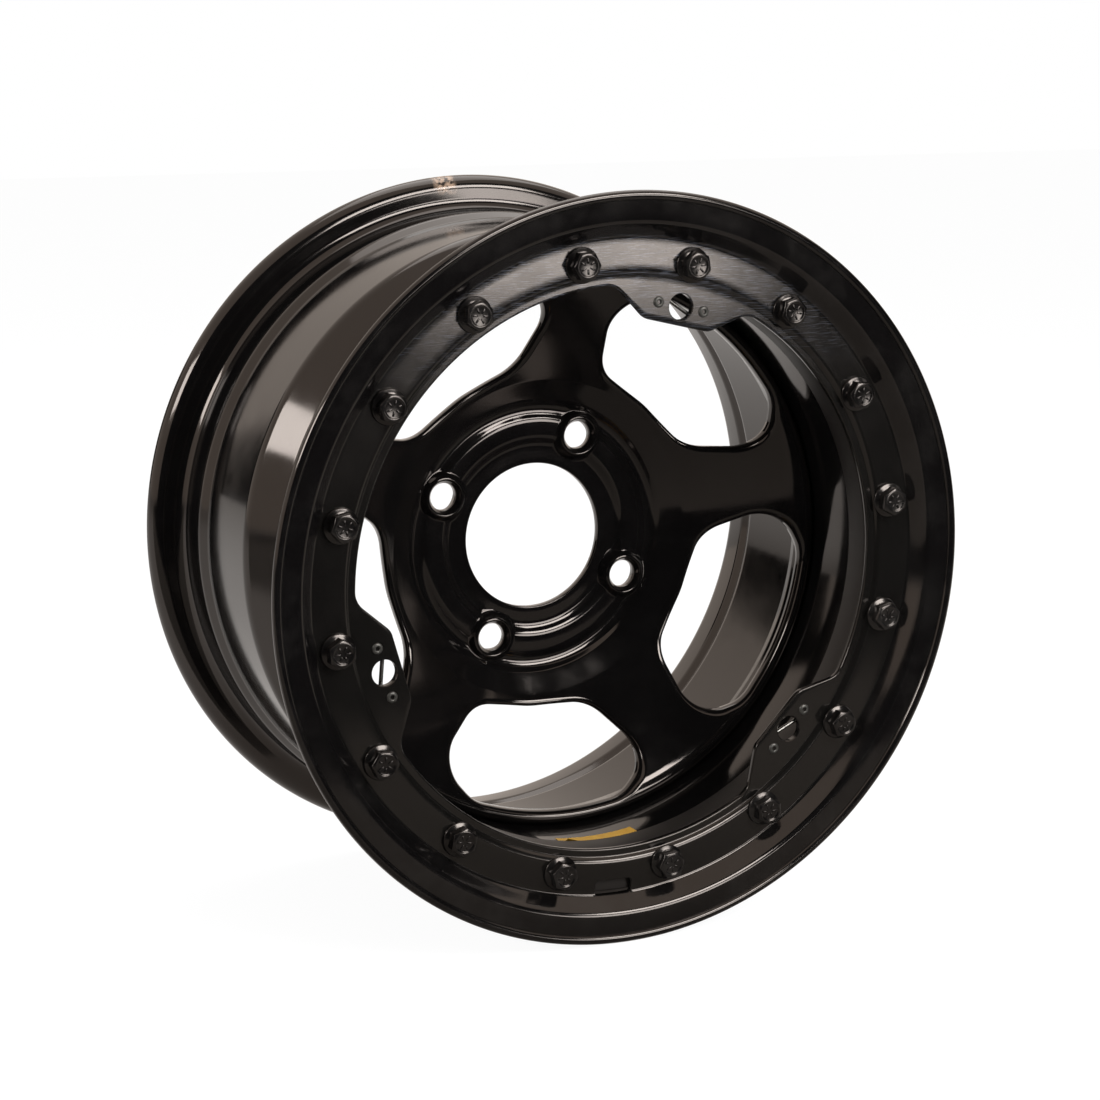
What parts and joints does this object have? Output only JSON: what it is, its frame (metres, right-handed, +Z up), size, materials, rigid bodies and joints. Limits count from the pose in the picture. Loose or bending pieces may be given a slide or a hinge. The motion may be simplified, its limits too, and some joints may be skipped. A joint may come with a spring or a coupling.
{
  "type": "beadlock wheel",
  "caption": "Black steel racing wheel with a pressed spoked centre welded in a stepped barrel, and a bolted clamp ring with cover tabs that locks the outer tyre bead.",
  "frame": {"origin": "on the wheel's axle line, in the plane of the hub mounting face (the back of the centre)", "axes": "the axle runs along Y with the outboard side, the clamp ring, towards -Y and the car towards +Y; +Z is up with the wheel standing on its tread; +X is to the right as seen from outboard"},
  "size_m": [0.3717, 0.203, 0.3718],
  "materials": {
    "barrel_paint": "gloss black enamel over rolled steel",
    "centre_paint": "gloss black enamel over pressed steel",
    "ring_paint": "gloss black enamel with light handling scuffs",
    "bolt_steel": "black oxide with worn corners",
    "spring_wire": "bright spring steel wire",
    "rivet_steel": "dull plated rivet"
  },
  "bodies": {
    "root": {"rim_barrel": "barrel_paint", "centre_disc": "centre_paint", "inner_bead_ring": "barrel_paint", "clamp_ring": "ring_paint", "clamp_bolts": "bolt_steel", "cover_spring_1": "spring_wire", "cover_spring_2": "spring_wire", "cover_spring_3": "spring_wire", "spring_rivets": "rivet_steel", "centre_welds": "barrel_paint", "bead_ring_weld": "barrel_paint"}
  },
  "joints": []
}
